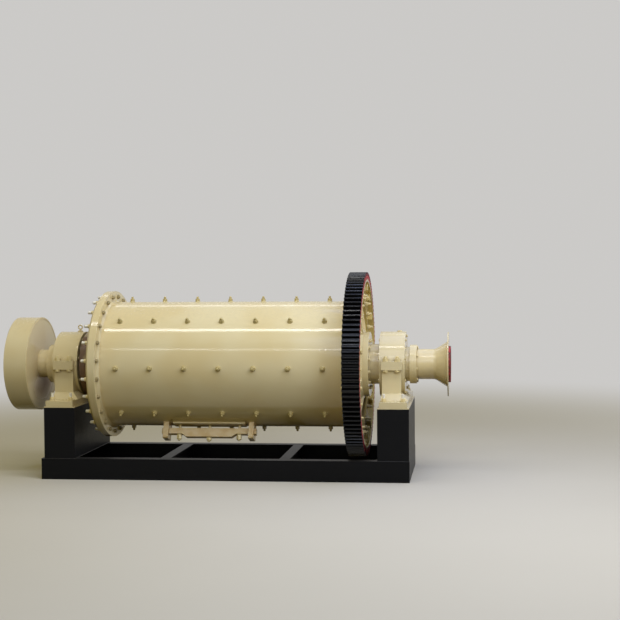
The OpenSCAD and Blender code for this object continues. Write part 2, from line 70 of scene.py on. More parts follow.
AXIS_Z = (low("shell").z + high("shell").z) / 2
SHELL_R = radius_of("shell")
FLANGE_R = radius_of("feed_shell_flange")
GEAR_R = radius_of("girth_gear")
FEED_JOINT_X = low("feed_shell_flange").x
DISCHARGE_JOINT_X = high("discharge_shell_flange").x
FEED_BEARING_X = middle_x("feed_bearing_cap")
DISCHARGE_BEARING_X = middle_x("discharge_bearing_cap")
FEED_FOOT_X = middle_x("feed_bearing_base")
DISCHARGE_FOOT_X = middle_x("discharge_bearing_base")
SPLIT_Z = low("feed_bearing_cap").z
FOOT_Z = low("feed_bearing_base").z
MANHOLE_X = middle_x("manhole_cover")


# Sizes of the part's source that the box of a node doesn't give

HEAD_T = 0.034
SHELL_FLANGE_T = 0.028
FLANGE_WELD_L = 0.0155
GEAR_WEB_T = 0.026
FLANGE_BOLT_R = FLANGE_R - 0.04

FEED_TRUNNION_FACE = -1.087
DISCHARGE_TRUNNION_FACE = 1.026
TRUNNION_BOLT_R = 0.175
FEEDER_FLANGE_FACE = -1.368
FEEDER_HUB_R = 0.1035
FEEDER_BOLT_R = 0.1225
TRUMPET_FLANGE_FACE = 1.368
TRUMPET_BARREL_R = 0.110
TRUMPET_BOLT_R = 0.126

COVER_BOLT_R = 0.21
CAP_EAR_T = 0.038
BASE_EAR_T = 0.024
BASE_FOOT_T = 0.040
CAP_BOLT_PITCH = (0.084, 0.512)
ANCHOR_PITCH = (0.134, 0.72)

MANHOLE_TURN = math.radians(22.5)
MANHOLE_STUD_PITCH = 0.22
BAR_R = SHELL_R + 0.039
BAR_END_H = 0.041
BAR_MIDDLE_H = 0.063
PAD_W = 0.096
BRACKET_X = 0.313
BRACKET_T = 0.038
BRACKET_W = 0.100


# Node trees

class Wire:
    """An output socket. Sums of wires and numbers add Math nodes to its tree."""

    def __init__(self, tree, socket=None):
        self.tree = tree
        self.socket = socket

    def node(self, kind, settings=None, values=None, out=0):
        """Adds any node: first its settings, then the values or wires of its inputs."""
        made = self.tree.nodes.new(kind)
        for key, value in (settings or {}).items():
            if key == "stops":
                set_stops(made.color_ramp, value)
            else:
                setattr(made, key, value)
        for key, value in (values or {}).items():
            if isinstance(value, Wire):
                self.tree.links.new(value.socket, made.inputs[key])
            else:
                made.inputs[key].default_value = value
        return Wire(self.tree, made.outputs[out] if len(made.outputs) else None)

    def other(self, name):
        """Another output of the same node."""
        return Wire(self.tree, self.socket.node.outputs[name])

    def math(self, operation, *values):
        """The result of a Math node on wires and numbers."""
        return self.node("ShaderNodeMath", {"operation": operation}, dict(enumerate(values)))

    def __add__(self, other):
        return self.math("ADD", self, other)

    def __sub__(self, other):
        return self.math("SUBTRACT", self, other)

    def __rsub__(self, other):
        return self.math("SUBTRACT", other, self)

    def __mul__(self, other):
        return self.math("MULTIPLY", self, other)

    def __truediv__(self, other):
        return self.math("DIVIDE", self, other)

    def __pow__(self, other):
        return self.math("POWER", self, other)

    def __abs__(self):
        return self.math("ABSOLUTE", self)

    __radd__ = __add__
    __rmul__ = __mul__

    def between(self, start, end):
        """A mask that goes smoothly from 0 at start to 1 at end."""
        return self.node(
            "ShaderNodeMapRange",
            {"interpolation_type": "SMOOTHSTEP"},
            {"Value": self, "From Min": start, "From Max": end},
        )


def set_stops(ramp, stops):
    """Gives a colour ramp its (place, colour) stops."""
    for index, (place, colour) in enumerate(stops):
        element = ramp.elements[index] if index < 2 else ramp.elements.new(place)
        element.position = place
        element.color = colour


# Shader helpers

def linear(red, green, blue):
    """A colour as the shaders want it, from the 0 to 255 values of a screen."""
    def channel(value):
        value /= 255
        return value / 12.92 if value <= 0.04045 else ((value + 0.055) / 1.055) ** 2.4
    return (channel(red), channel(green), channel(blue), 1.0)


def mix(factor, first, second):
    """The colours first and second, mixed by the wire factor."""
    return factor.node("ShaderNodeMix", {"data_type": "RGBA"}, {0: factor, 6: first, 7: second}, out=2)


def mix_value(factor, first, second):
    """The numbers first and second, mixed by the wire factor."""
    return first * (1 - factor) + second * factor


def noise(place, scale, detail=3.0, stretch=None):
    """Soft noise from 0 to 1. A stretch below 1 draws it out along that axis."""
    if stretch:
        place = place.node("ShaderNodeMapping", None, {"Vector": place, "Scale": stretch})
    values = {"Vector": place, "Scale": scale, "Detail": detail}
    return place.node("ShaderNodeTexNoise", None, values)


# How far the ambient occlusion reaches for the painted shade of corners.
CORNER_REACH = 0.035


class Surface:
    """What the finishes of this mill read: places, facings, corners and edges."""

    def __init__(self, name, edge=0.003):
        self.material = bpy.data.materials.new(name)
        self.material.use_nodes = True
        self.material.node_tree.nodes.clear()
        self.start = Wire(self.material.node_tree)
        self.place = self.start.node("ShaderNodeTexCoord", out="Object")
        split = self.start.node("ShaderNodeSeparateXYZ", None, {0: self.place})
        self.x, self.y, self.z = split, split.other("Y"), split.other("Z") - AXIS_Z
        self.radius = (self.y * self.y + self.z * self.z) ** 0.5
        facing = self.start.node("ShaderNodeSeparateXYZ", None, {0: self.place.other("Normal")})
        self.facing_x, self.facing_up = facing, facing.other("Z")
        self.rounded = self.start.node("ShaderNodeBevel", {"samples": 4}, {"Radius": edge})
        flat = self.start.node("ShaderNodeNewGeometry", out="Normal")
        along = self.start.node(
            "ShaderNodeVectorMath", {"operation": "DOT_PRODUCT"}, {0: self.rounded, 1: flat}, out="Value"
        )
        self.edge = (1 - along).between(0.01, 0.12)
        # Ambient occlusion: the finishes darken by it as painted shade in corners and recesses.
        reach = {"Distance": CORNER_REACH}
        open_sky = self.start.node("ShaderNodeAmbientOcclusion", {"samples": 4}, reach, out="AO")
        self.corner = (1 - open_sky).between(0.2, 0.75)

    def bumps(self, height, distance):
        """The normal of a height map, over the rounded edges."""
        values = {"Height": height, "Distance": distance, "Normal": self.rounded}
        return self.start.node("ShaderNodeBump", None, values)

    def cover(self, colour, roughness, normal, **constants):
        """Joins the shader to its colour, roughness and normal."""
        values = {"Base Color": colour, "Roughness": roughness, "Normal": normal}
        values.update({key.replace("_", " "): value for key, value in constants.items()})
        shader = self.start.node("ShaderNodeBsdfPrincipled", None, values)
        self.start.node("ShaderNodeOutputMaterial", None, {"Surface": shader})
        return self.material


# Finishes

CREAM = linear(227, 214, 173)
CREAM_WARM = linear(222, 205, 157)
# A painted highlight for the edges of the cream enamel.
CREAM_EDGE_HIGHLIGHT = linear(236, 222, 180)
# Painted shade inside the rim of the girth gear.
OLIVE_SHADE = linear(205, 184, 110)
DUST = linear(176, 168, 146)
# Grime, and the painted shade of corners.
GRIME_AND_SHADE = linear(120, 98, 56)
# Painted shadow of the feeder hub, and the browning round the hub.
HUB_SHADOW_BROWN = linear(118, 74, 30)
# Painted shade of the manhole bar and brackets.
TAN_SHADE = linear(190, 150, 70)
BLACK = linear(9, 10, 13)
BLACK_WORN = linear(52, 52, 52)
GREASE = linear(8, 8, 9)
PRIMER = linear(186, 58, 64)
PRIMER_DARK = linear(74, 34, 20)
STEEL = linear(176, 172, 166)
IRON = linear(92, 86, 80)
RUST = linear(96, 60, 30)
BRONZE = linear(176, 132, 70)
BLACK_PALE = linear(20, 21, 24)
GREASE_DRY = linear(26, 26, 26)
# Painted shade in the corners of fasteners.
BOLT_CORNER_SHADE = linear(84, 68, 40)
# Bare stud ends, painted near-white and light grey for their glint.
GLINT_STEEL = linear(246, 243, 234)
DULL_GLINT_STEEL = linear(214, 208, 196)


def cream_coat(surface):
    """Colour and roughness of the cream enamel, with dust on top, grime and painted shade in the corners,
    and painted highlights on the edges.
    """
    cloud = noise(surface.place, 2.3, 2)
    speck = noise(surface.place, 46, 4)
    settled = surface.facing_up.between(0.6, 0.98) * speck.between(0.42, 0.72) * 0.22
    # Darker in corners and recesses: painted shade, varied by specks of grime.
    grime_and_shade = surface.corner * (0.15 + 0.4 * speck)
    coat = mix(cloud.between(0.38, 0.66), CREAM, CREAM_WARM)
    # Lighter on the edges: painted highlight.
    coat = mix(surface.edge * 0.55, coat, CREAM_EDGE_HIGHLIGHT)
    coat = mix(settled, coat, DUST)
    coat = mix(grime_and_shade, coat, GRIME_AND_SHADE)
    return coat, 0.07 + 0.08 * speck + settled * 1.2 + grime_and_shade * 0.4


def orange_peel(surface):
    """The fine skin of sprayed enamel over the slow waves of the plate."""
    skin = noise(surface.place, 190, 2)
    wave = noise(surface.place, 5, 1)
    return surface.bumps(0.02 * skin + wave, 0.0008)


def cream_enamel():
    """The plain cream paint of the mill."""
    surface = Surface("cream_enamel")
    colour, roughness = cream_coat(surface)
    return surface.cover(colour, roughness, orange_peel(surface))


def primed_cream():
    """Feed head and trunnion: cream over a red primer that still shows outside the flange."""
    surface = Surface("cream_over_primer")
    cream, roughness = cream_coat(surface)
    patch = noise(surface.place, 9, 3)
    outside = (FEED_JOINT_X - HEAD_T - surface.x).between(0.004, 0.03)
    outside = outside * (surface.x - low("feed_inner_cover").x).between(-0.012, -0.006)
    shown = outside * (0.55 + 0.6 * patch.between(0.35, 0.6))
    primer = mix(patch.between(0.4, 0.65), PRIMER_DARK, RUST)
    colour = mix(shown.math("MINIMUM", shown, 0.92), cream, primer)
    return surface.cover(colour, roughness + 0.2 * shown, orange_peel(surface))


def hub_shadowed_cream():
    """Inner face of the feeder drum: cream, browner round its hub, with a painted shadow of the hub below
    it.
    """
    surface = Surface("hub_shadowed_cream")
    cream, roughness = cream_coat(surface)
    patch = noise(surface.place, 7, 3)
    near = surface.radius.between(0.32, 0.1)
    # Painted shadow of the hub, towards the lower back of the face.
    below = (0.5 * surface.y - surface.z).between(-0.04, 0.2) * surface.radius.between(0.345, 0.2)
    # The painted shadow and the browning round the hub, in one brown.
    hub_shadow_and_brown = (0.3 * near + 0.75 * below) * (0.6 + 0.5 * patch)
    colour = mix(hub_shadow_and_brown, cream, HUB_SHADOW_BROWN)
    return surface.cover(colour, roughness + 0.45 * hub_shadow_and_brown, orange_peel(surface))


def tan_shaded_cream():
    """Bar and brackets of the manhole: cream, darkened towards tan in uneven patches as painted shade."""
    surface = Surface("tan_shaded_cream")
    cream, roughness = cream_coat(surface)
    patch = noise(surface.place, 14, 4)
    # Darker tan over all of the bar and brackets: painted shade.
    painted_shade = 0.45 + 0.3 * patch.between(0.35, 0.7)
    return surface.cover(mix(painted_shade, cream, TAN_SHADE), roughness + 0.1 * patch, orange_peel(surface))


def black_enamel():
    """Satin black of the skid, scuffed along its edges and dusty on top."""
    surface = Surface("black_enamel", edge=0.004)
    cloud = noise(surface.place, 5, 3)
    speck = noise(surface.place, 60, 4)
    scratch = noise(surface.place, 30, 3, stretch=(0.05, 1, 1)).between(0.62, 0.75)
    dust = surface.facing_up.between(0.5, 0.95) * (0.01 + 0.04 * cloud)
    worn = surface.edge * cloud.between(0.42, 0.62)
    colour = mix(cloud * 0.35, BLACK, BLACK_PALE)
    colour = mix(dust, colour, DUST)
    colour = mix(worn * 0.5 + scratch * 0.06, colour, BLACK_WORN)
    roughness = 0.32 + 0.16 * speck + dust * 0.9 - scratch * 0.05
    waves = 0.2 * speck + noise(surface.place, 7, 1)
    return surface.cover(colour, roughness, surface.bumps(waves, 0.002), Specular_IOR_Level=0.14)


def gear_finish():
    """Greased teeth, primer at the tooth ends, cream rim sides and web, with an olive painted shade inside
    the rim.
    """
    surface = Surface("girth_gear_finish")
    cream, cream_rough = cream_coat(surface)
    smear = noise(surface.place, 22, 4)
    streak = noise(surface.place, 60, 3, stretch=(0.12, 1, 1))
    side = abs(surface.facing_x).between(0.6, 0.9)
    tooth = (surface.radius + 0.006 * smear).between(GEAR_R - 0.022, GEAR_R - 0.018)
    primer = mix(smear.between(0.5, 0.7), PRIMER, PRIMER_DARK)
    ring = (surface.radius + 0.02 * smear).between(GEAR_R - 0.055, GEAR_R - 0.035)
    rim = mix(ring, cream, primer)
    # Olive inside the rim: painted shade.
    rim_inner_shade = (GEAR_R - 0.045 - surface.radius).between(0.0, 0.01) * (1 - side)
    rim = mix(rim_inner_shade * 0.8, rim, OLIVE_SHADE)
    colour = mix(side * tooth, rim, mix(smear.between(0.45, 0.6), PRIMER, GREASE))
    greased = (1 - side) * surface.radius.between(GEAR_R - 0.034, GEAR_R - 0.03)
    colour = mix(greased, colour, mix(streak.between(0.55, 0.8), GREASE, GREASE_DRY))
    roughness = mix_value(greased, cream_rough + 0.5 * ring, 0.10 + 0.16 * smear)
    bumps = surface.bumps(smear * greased + 0.3 * streak, 0.0012)
    return surface.cover(colour, roughness, bumps, Specular_IOR_Level=0.34)


def liner_iron():
    """Cast liners, rubbed by the balls on their crowns and rusty between them."""
    surface = Surface("liner_iron", edge=0.006)
    grain = noise(surface.place, 70, 5)
    patch = noise(surface.place, 8, 4)
    rub = noise(surface.place, 25, 3, stretch=(1, 0.2, 0.2)).between(0.45, 0.7)
    colour = mix(patch.between(0.4, 0.65), IRON, RUST)
    colour = mix(rub * 0.6 + surface.edge * 0.3, colour, STEEL)
    return surface.cover(colour, 0.62 - 0.25 * rub, surface.bumps(grain + 2 * patch, 0.003), Metallic=0.6)


def bush_bronze():
    """Turned bronze of the bushes, with painted shade in its corners."""
    surface = Surface("bush_bronze", edge=0.001)
    turned = noise(surface.place, 300, 2, stretch=(1, 0.02, 0.02))
    # Darker in the corners: painted shade.
    colour = mix(surface.corner * 0.7, BRONZE, GRIME_AND_SHADE)
    return surface.cover(colour, 0.25 + 0.2 * turned, surface.bumps(turned, 0.0003), Metallic=1.0)


def red_primer():
    """The lip of the trumpet, primed in red, with light steel on its edges: rubbed by what runs over it,
    and a painted highlight.
    """
    surface = Surface("red_primer")
    patch = noise(surface.place, 40, 4)
    colour = mix(patch.between(0.35, 0.65), PRIMER, PRIMER_DARK)
    # Light steel on the edges: wear, and a painted highlight of the rim.
    colour = mix(surface.edge * patch.between(0.5, 0.6), colour, STEEL)
    return surface.cover(colour, 0.5 + 0.2 * patch, surface.bumps(patch, 0.0006))


def fastener_finish(name, painted):
    """Nuts and bolts: painted with the mill, with painted shade in their corners, and bare at the ends of
    their studs, painted near-white there for the glint of the steel.
    """
    surface = Surface(name, edge=0.0012)
    speck = noise(surface.place, 90, 3)
    bare = surface.start.node("ShaderNodeAttribute", {"attribute_name": "bare"}, out="Fac")
    bright = bare.between(0.4, 0.6)
    # Darker in the corners: painted shade.
    coat = mix(surface.corner * 0.6, painted, BOLT_CORNER_SHADE)
    # Bare stud ends: bare steel, painted near-white as its glint.
    steel_glint = mix(speck.between(0.5, 0.8), GLINT_STEEL, DULL_GLINT_STEEL)
    colour = mix(bright, coat, steel_glint)
    roughness = 0.24 + 0.12 * speck
    return surface.cover(colour, roughness, surface.bumps(speck, 0.0004))


def weld_finish(name, painted):
    """Beads under the paint, a little darker where spatter and dust hold, and with painted shade in their
    corners.
    """
    surface = Surface(name, edge=0.001)
    speck = noise(surface.place, 120, 3)
    # Darker where spatter holds, and in the corners as painted shade.
    colour = mix(speck.between(0.55, 0.8) * 0.4 + surface.corner * 0.4, painted, GRIME_AND_SHADE)
    return surface.cover(colour, 0.3 + 0.2 * speck, surface.bumps(speck, 0.001))


FINISHES = {
    "cream_paint": cream_enamel(),
    "black_paint": black_enamel(),
    "greased_gear": gear_finish(),
    "liner_iron": liner_iron(),
    "bush_bronze": bush_bronze(),
    "red_paint": red_primer(),
}
CREAM_FASTENER = fastener_finish("cream_fastener", linear(236, 220, 168))
# A duller, darker cream for the liner bolts: painted shade.
DULL_SHADED_FASTENER = fastener_finish("dull_shaded_fastener", linear(194, 178, 124))
# A darker cream, so that the nuts on the inner feed flange face carry a painted shade.
SHADED_FASTENER = fastener_finish("shaded_fastener", linear(168, 153, 112))
CREAM_WELD = weld_finish("cream_weld", linear(224, 203, 148))
BLACK_WELD = weld_finish("black_weld", BLACK)


def wear(nodes, material):
    """Gives carried-over nodes their finish."""
    for node in nodes:
        mesh = frame["nodes"][node].data
        mesh.materials.clear()
        mesh.materials.append(material)


for part in frame["record"]["subparts"]:
    wear([part["node"]], FINISHES[part["material_slot"]])
wear(["feed_head", "feed_trunnion"], primed_cream())
wear(["feeder_inner_face"], hub_shadowed_cream())
wear(["manhole_bar", "manhole_brackets"], tan_shaded_cream())


# Fasteners

SIDES = 12
SUNK = 0.0005  # how deep a fastener or a bead reaches into what carries it


def round_ring(radius, z):
    """Points of a level circle."""
    turn = 2 * math.pi / SIDES
    return [(radius * math.cos(i * turn), radius * math.sin(i * turn), z) for i in range(SIDES)]


def hexagon_ring(width, drop, z):
    """A hexagon of that width across flats, its corners drop lower than its middles."""
    points = []
    for i in range(SIDES):
        corner = i % 2 == 0
        radius = width / math.sqrt(3) if corner else width / 2
        angle = i * math.pi / 6
        points.append((radius * math.cos(angle), radius * math.sin(angle), z - drop * corner))
    return points


class Fastener:
    """A nut or bolt end that stands along +Z, built up from its seat at Z = 0."""

    def __init__(self):
        self.shape = bmesh.new()
        self.bare = self.shape.faces.layers.float.new("bare")
        self.top = 0.0

    def stack(self, rings, bare=0.0):
        """Adds a closed body through rings of points. Where bare is 1 the steel shows."""
        loops = [[self.shape.verts.new(point) for point in ring] for ring in rings]
        faces = [self.shape.faces.new(list(reversed(loops[0]))), self.shape.faces.new(loops[-1])]
        for below, above in zip(loops, loops[1:]):
            for i in range(SIDES):
                j = (i + 1) % SIDES
                faces.append(self.shape.faces.new((below[i], below[j], above[j], above[i])))
        for face in faces:
            face[self.bare] = bare
        self.top = rings[-1][0][2]
        return self

    def cup(self, wide, narrow, height):
        """A round seat, narrower at its top."""
        return self.stack([round_ring(wide, self.top - SUNK), round_ring(narrow, self.top + height)])

    def washer(self, radius, thickness):
        return self.cup(radius, radius, thickness)

    def nut(self, width, height):
        """A hexagon with a turned chamfer."""
        foot, top = self.top - SUNK, self.top + height
        crown = width * 0.475
        drop = (width / math.sqrt(3) - crown) * 0.58
        sides = [hexagon_ring(width, 0, foot), hexagon_ring(width, drop, top)]
        return self.stack(sides + [round_ring(crown, top)])

    def stud(self, radius, length, bare=0.0):
        """A round end with a small chamfer."""
        foot, end = self.top - SUNK, self.top + length
        shank = [round_ring(radius, foot), round_ring(radius, end - radius * 0.3)]
        return self.stack(shank + [round_ring(radius * 0.7, end)], bare)

    def mesh(self, name):
        mesh = bpy.data.meshes.new(name)
        self.shape.to_mesh(mesh)
        self.shape.free()
        return mesh


def new_tree(name, inputs):
    """A geometry tree with these named inputs, and the wire from its Group Input."""
    tree = bpy.data.node_groups.new(name, "GeometryNodeTree")
    tree.interface.new_socket("Geometry", in_out="INPUT", socket_type="NodeSocketGeometry")
    for label, kind in inputs.items():
        tree.interface.new_socket(label, in_out="INPUT", socket_type="NodeSocket" + kind)
    tree.interface.new_socket("Finish", in_out="INPUT", socket_type="NodeSocketMaterial")
    tree.interface.new_socket("Geometry", in_out="OUTPUT", socket_type="NodeSocketGeometry")
    return Wire(tree).node("NodeGroupInput")


def end_tree(given, geometry):
    """Ends a tree: real geometry, in the finish that was asked for."""
    solid = given.node("GeometryNodeRealizeInstances", None, {"Geometry": geometry})
    values = {"Geometry": solid, "Material": given.other("Finish")}
    painted = given.node("GeometryNodeSetMaterial", None, values)
    given.node("NodeGroupOutput", None, {0: painted})
    return given.tree


def vector(given, x, y, z):
    """A vector from three wires or numbers."""
    return given.node("ShaderNodeCombineXYZ", None, {0: x, 1: y, 2: z})


def moved(given, points, position):
    """The points, each one put at its position."""
    return given.node("GeometryNodeSetPosition", None, {"Geometry": points, "Position": position})


SPIN_SEED = 7


def stood_on(given, points, aim):
    """Stands the given fastener on points, along aim, each one turned about it by chance."""
    values = {3: math.tau, "Seed": SPIN_SEED}
    spin = given.node("FunctionNodeRandomValue", {"data_type": "FLOAT"}, values, out=1)
    turned = given.node("FunctionNodeAxisAngleToRotation", None, {"Axis": (0, 0, 1), "Angle": spin})
    stood = given.node("FunctionNodeAlignRotationToVector", {"axis": "Z"}, {"Vector": aim})
    values = {"Rotation": stood, "Rotate By": turned}
    both = given.node("FunctionNodeRotateRotation", {"rotation_space": "LOCAL"}, values)
    values = {"Points": points, "Instance": given.other("Geometry"), "Rotation": both}
    return given.node("GeometryNodeInstanceOnPoints", None, values)


def circle_tree():
    """Fasteners on a circle round the mill axis, all facing along it."""
    inputs = {"Count": "Int", "Circle": "Float", "First": "Float", "Seat": "Float", "Facing": "Float"}
    given = new_tree("fasteners_on_a_circle", inputs)
    count = given.other("Count")
    circle = given.other("Circle")
    points = given.node("GeometryNodePoints", None, {"Count": count})
    angle = given.other("First") + given.node("GeometryNodeInputIndex") * math.tau / count
    across = circle * angle.math("COSINE", angle) * -1
    upward = circle * angle.math("SINE", angle) + AXIS_Z
    placed = moved(given, points, vector(given, given.other("Seat"), across, upward))
    aim = vector(given, given.other("Facing"), 0.0, 0.0)
    return end_tree(given, stood_on(given, placed, aim))


def drum_tree():
    """Rows of fasteners along a drum, standing out from it."""
    inputs = {"Rows": "Int", "In a Row": "Int", "First": "Float", "Pitch": "Float", "Drum": "Float"}
    given = new_tree("fasteners_on_a_drum", inputs)
    rows, in_row = given.other("Rows"), given.other("In a Row")
    drum = given.other("Drum")
    points = given.node("GeometryNodePoints", None, {"Count": rows * in_row})
    index = given.node("GeometryNodeInputIndex")
    row = index.math("FLOOR", (index + 0.5) / in_row)
    angle = row * math.tau / rows
    along = given.other("First") + (index - row * in_row) * given.other("Pitch")
    across = drum * angle.math("COSINE", angle) * -1
    upward = drum * angle.math("SINE", angle) + AXIS_Z
    placed = moved(given, points, vector(given, along, across, upward))
    place = given.node("ShaderNodeSeparateXYZ", None, {0: given.node("GeometryNodeInputPosition")})
    y, z = place.other("Y"), place.other("Z") - AXIS_Z
    return end_tree(given, stood_on(given, placed, vector(given, 0.0, y, z)))


def grid_tree():
    """Fasteners on a flat grid, all facing one way."""
    inputs = {"Along": "Int", "Across": "Int", "Pitch Along": "Float", "Pitch Across": "Float"}
    inputs.update({"Middle": "Vector", "Aim": "Vector"})
    given = new_tree("fasteners_on_a_grid", inputs)
    along, across = given.other("Along"), given.other("Across")
    points = given.node("GeometryNodePoints", None, {"Count": along * across})
    index = given.node("GeometryNodeInputIndex")
    row = index.math("FLOOR", (index + 0.5) / along)
    x = (index - row * along - (along - 1) / 2) * given.other("Pitch Along")
    y = (row - (across - 1) / 2) * given.other("Pitch Across")
    values = {0: given.other("Middle"), 1: vector(given, x, y, 0.0)}
    position = given.node("ShaderNodeVectorMath", {"operation": "ADD"}, values)
    placed = moved(given, points, position)
    return end_tree(given, stood_on(given, placed, given.other("Aim")))


def weld_tree():
    """A weld bead along the edges of the host mesh, rippled as a welder leaves it."""
    given = new_tree("weld_bead", {"Bead": "Float", "Pitch": "Float", "Ripple": "Float"})
    pitch = given.other("Pitch")
    path = given.node("GeometryNodeMeshToCurve", None, {"Mesh": given.other("Geometry")})
    values = {"Curve": path, "Length": pitch / 2.5}
    even = given.node("GeometryNodeResampleCurve", {"mode": "LENGTH"}, values)
    run = given.node("GeometryNodeSplineParameter", out="Length")
    place = given.node("GeometryNodeInputPosition")
    uneven = given.node("ShaderNodeTexNoise", None, {"Vector": place, "Scale": 60.0, "Detail": 1.0})
    wave = run.math("SINE", run * math.tau / pitch)
    width = 1 + given.other("Ripple") * (wave + 2 * uneven - 1)
    sized = given.node("GeometryNodeSetCurveRadius", None, {"Curve": even, "Radius": width})
    values = {"Resolution": 6, "Radius": given.other("Bead")}
    profile = given.node("GeometryNodeCurvePrimitiveCircle", None, values)
    values = {"Curve": sized, "Profile Curve": profile, "Fill Caps": True}
    bead = given.node("GeometryNodeCurveToMesh", None, values)
    smooth = given.node("GeometryNodeSetShadeSmooth", None, {"Geometry": bead})
    return end_tree(given, smooth)


def grown(name, mesh, tree, body, sizes):
    """Runs a tree on a host mesh and keeps its result as a plain piece that rides on a body."""
    host = bpy.data.objects.new(name + "_host", mesh)
    bpy.context.scene.collection.objects.link(host)
    modifier = host.modifiers.new("grow", "NODES")
    modifier.node_group = tree
    for socket in tree.interface.items_tree:
        if socket.in_out == "INPUT" and socket.name in sizes:
            modifier[socket.identifier] = sizes[socket.name]
    host.update_tag()
    bpy.context.view_layer.update()
    found = host.evaluated_get(bpy.context.evaluated_depsgraph_get())
    result = bpy.data.meshes.new_from_object(found)
    result.name = name
    bpy.data.objects.remove(host)
    piece = bpy.data.objects.new(name, result)
    bpy.context.scene.collection.objects.link(piece)
    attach(piece, body)


CIRCLE = circle_tree()
DRUM = drum_tree()
GRID = grid_tree()
WELD = weld_tree()


def bolt_circle(name, mesh, body, count, radius, seat, facing, first=0.0, finish=CREAM_FASTENER):
    """Fasteners on a circle round the mill axis, with the first one at that angle in degrees."""
    sizes = {"Count": count, "Circle": radius, "First": math.radians(first), "Seat": seat}
    sizes.update({"Facing": facing, "Finish": finish})
    grown(name, mesh, CIRCLE, body, sizes)


def bolt_grid(name, mesh, body, counts, pitch, middle, aim):
    """Fasteners on a flat grid round its middle: counts and pitch are along X, then across it."""
    sizes = {"Along": counts[0], "Across": counts[1], "Pitch Along": pitch[0], "Pitch Across": pitch[1]}
    sizes.update({"Middle": middle, "Aim": aim, "Finish": CREAM_FASTENER})
    grown(name, mesh, GRID, body, sizes)


def liner_bolts():
    """Rows of sealed liner bolts on the shell. The manhole lies between two of them."""
    bolt = Fastener().cup(wide=0.021, narrow=0.0155, height=0.007)
    bolt.nut(width=0.028, height=0.015).stud(radius=0.0085, length=0.016)
    sizes = {"Rows": 8, "In a Row": 7, "First": -0.749, "Pitch": 0.2465, "Drum": SHELL_R}
    # Liner bolts in the darker cream of painted shade.
    sizes["Finish"] = DULL_SHADED_FASTENER
    grown("liner_bolts", bolt.mesh("liner_bolt"), DRUM, "drum", sizes)


def flange_bolts():
    """Through bolts of the two shell flanges: nuts on their inner sides, stud ends outside."""
    inner = Fastener().nut(width=0.028, height=0.014).stud(radius=0.009, length=0.006)
    outer = Fastener().washer(radius=0.018, thickness=0.003).nut(width=0.028, height=0.016)
    outer.stud(radius=0.0115, length=0.027, bare=1.0)
    web = Fastener().washer(radius=0.018, thickness=0.003).nut(width=0.028, height=0.016)
    web.stud(radius=0.010, length=0.020)
    inner_nut, outer_stud = inner.mesh("flange_nut"), outer.mesh("flange_stud")
    web_stud = web.mesh("web_stud")
    count = 24
    feed_turn = 6.5
    ring = (count, FLANGE_BOLT_R)
    feed_inside = FEED_JOINT_X + SHELL_FLANGE_T
    gear_inside = DISCHARGE_JOINT_X - SHELL_FLANGE_T
    feed_outside = FEED_JOINT_X - HEAD_T
    gear_outside = DISCHARGE_JOINT_X + HEAD_T + GEAR_WEB_T
    # The inner feed flange nuts wear the darker cream of painted shade.
    bolt_circle("feed_flange_nuts", inner_nut, "drum", *ring, feed_inside, 1.0, feed_turn, SHADED_FASTENER)
    bolt_circle("feed_flange_studs", outer_stud, "drum", *ring, feed_outside, -1.0, feed_turn)
    bolt_circle("gear_flange_nuts", inner_nut, "drum", *ring, gear_inside, -1.0)
    bolt_circle("gear_web_studs", web_stud, "drum", *ring, gear_outside, 1.0)


def trunnion_bolts():
    """Bolts that hold the trunnions on the heads."""
    head = Fastener().washer(radius=0.014, thickness=0.0025).nut(width=0.019, height=0.010)
    bolt = head.mesh("trunnion_bolt")
    ring = (12, TRUNNION_BOLT_R)
    bolt_circle("feed_trunnion_bolts", bolt, "drum", *ring, FEED_TRUNNION_FACE, -1.0, first=15)
    bolt_circle("discharge_trunnion_bolts", bolt, "drum", *ring, DISCHARGE_TRUNNION_FACE, 1.0, first=15)


def cover_bolts():
    """Bolts of the four bearing end covers."""
    bolt = Fastener().nut(width=0.019, height=0.0075).mesh("cover_bolt")
    for node in ("feed_inner_cover", "feed_outer_cover", "discharge_inner_cover", "discharge_outer_cover"):
        facing = 1.0 if ("inner" in node) == ("feed" in node) else -1.0
        seat = high(node).x if facing > 0 else low(node).x
        bolt_circle(node + "_bolts", bolt, "skid", 8, COVER_BOLT_R, seat, facing, first=15)


def end_flange_bolts():
    """Bolts that hold the feeder and the trumpet on the ends of the trunnions."""
    bolt = Fastener().nut(width=0.019, height=0.008).mesh("end_flange_bolt")
    bolt_circle("feeder_hub_bolts", bolt, "drum", 8, FEEDER_BOLT_R, FEEDER_FLANGE_FACE, -1.0, first=-5)
    bolt_circle("trumpet_bolts", bolt, "drum", 8, TRUMPET_BOLT_R, TRUMPET_FLANGE_FACE, 1.0, first=-11)


